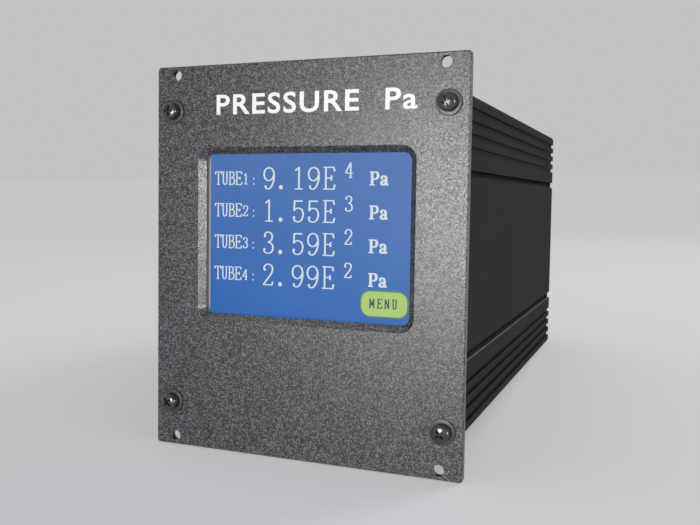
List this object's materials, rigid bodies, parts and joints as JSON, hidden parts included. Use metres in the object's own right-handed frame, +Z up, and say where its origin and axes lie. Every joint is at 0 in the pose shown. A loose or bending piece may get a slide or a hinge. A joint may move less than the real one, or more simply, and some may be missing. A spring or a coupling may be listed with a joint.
{
  "type": "pirani vacuum gauge",
  "caption": "Panel-mount indicator unit of a vacuum gauge: black plate with a bevelled display window, fluted extruded case behind it, gauge sockets and terminals at the rear.",
  "frame": {"origin": "centre of the front panel's rear face, in the middle of the four mounting holes", "axes": "+Y into the body, away from the viewer of the display; +Z up; +X to the viewer's right"},
  "size_m": [0.1062, 0.2355, 0.1284],
  "materials": {
    "coated_panel": "sand-textured black powder coat on aluminium",
    "anodised_case": "black anodised extrusion",
    "black_fasteners": "black zinc-plated steel",
    "touch_glass": "clear touch glass",
    "display_cell": "lit blue liquid-crystal cell",
    "plated_steel": "tin or nickel plated",
    "foam_gasket": "closed-cell foam",
    "circuit_board": "green solder mask on glass-epoxy",
    "black_plastic": "moulded black plastic",
    "ribbon": "grey ribbon cable",
    "core_steel": "varnished laminations",
    "winding": "taped copper winding",
    "capacitor_sleeve": "shrink sleeve",
    "heat_sink_metal": "plain extruded aluminium",
    "relay_case": "blue relay case",
    "fuse_glass": "glass tube with plated caps",
    "terminal_green": "green moulded terminal plastic",
    "earth_brass": "plain brass"
  },
  "bodies": {
    "root": {"front_panel": "coated_panel", "top_cover": "anodised_case", "bottom_cover": "anodised_case", "left_side_plate": "anodised_case", "right_side_plate": "anodised_case", "rear_panel": "anodised_case", "panel_screws": "black_fasteners", "spring_washers": "black_fasteners", "flat_washers": "black_fasteners", "rear_screws": "black_fasteners", "touch_panel": "touch_glass", "lcd_cell": "display_cell", "lcd_frame": "plated_steel", "display_studs": "plated_steel", "display_nuts": "plated_steel", "gauge_shells": "plated_steel", "jackscrews": "plated_steel", "jack_nuts": "plated_steel", "terminal_screws": "plated_steel", "fuse_clips": "plated_steel", "window_gasket": "foam_gasket", "display_board": "circuit_board", "main_board": "circuit_board", "measuring_cards": "circuit_board", "connector_board": "circuit_board", "display_chips": "black_plastic", "display_header": "black_plastic", "main_header": "black_plastic", "processor": "black_plastic", "rectifier": "black_plastic", "regulators": "black_plastic", "card_sockets": "black_plastic", "card_amplifiers": "black_plastic", "link_header": "black_plastic", "gauge_inserts": "black_plastic", "ribbon_plugs": "black_plastic", "ribbon_cable": "ribbon", "transformer_core": "core_steel", "transformer_coil": "winding", "filter_capacitors": "capacitor_sleeve", "heat_sink": "heat_sink_metal", "relays": "relay_case", "fuse": "fuse_glass", "terminal_headers": "terminal_green", "terminal_plugs": "terminal_green", "earth_stud": "earth_brass", "earth_washer": "earth_brass", "earth_nuts": "earth_brass"}
  },
  "joints": []
}
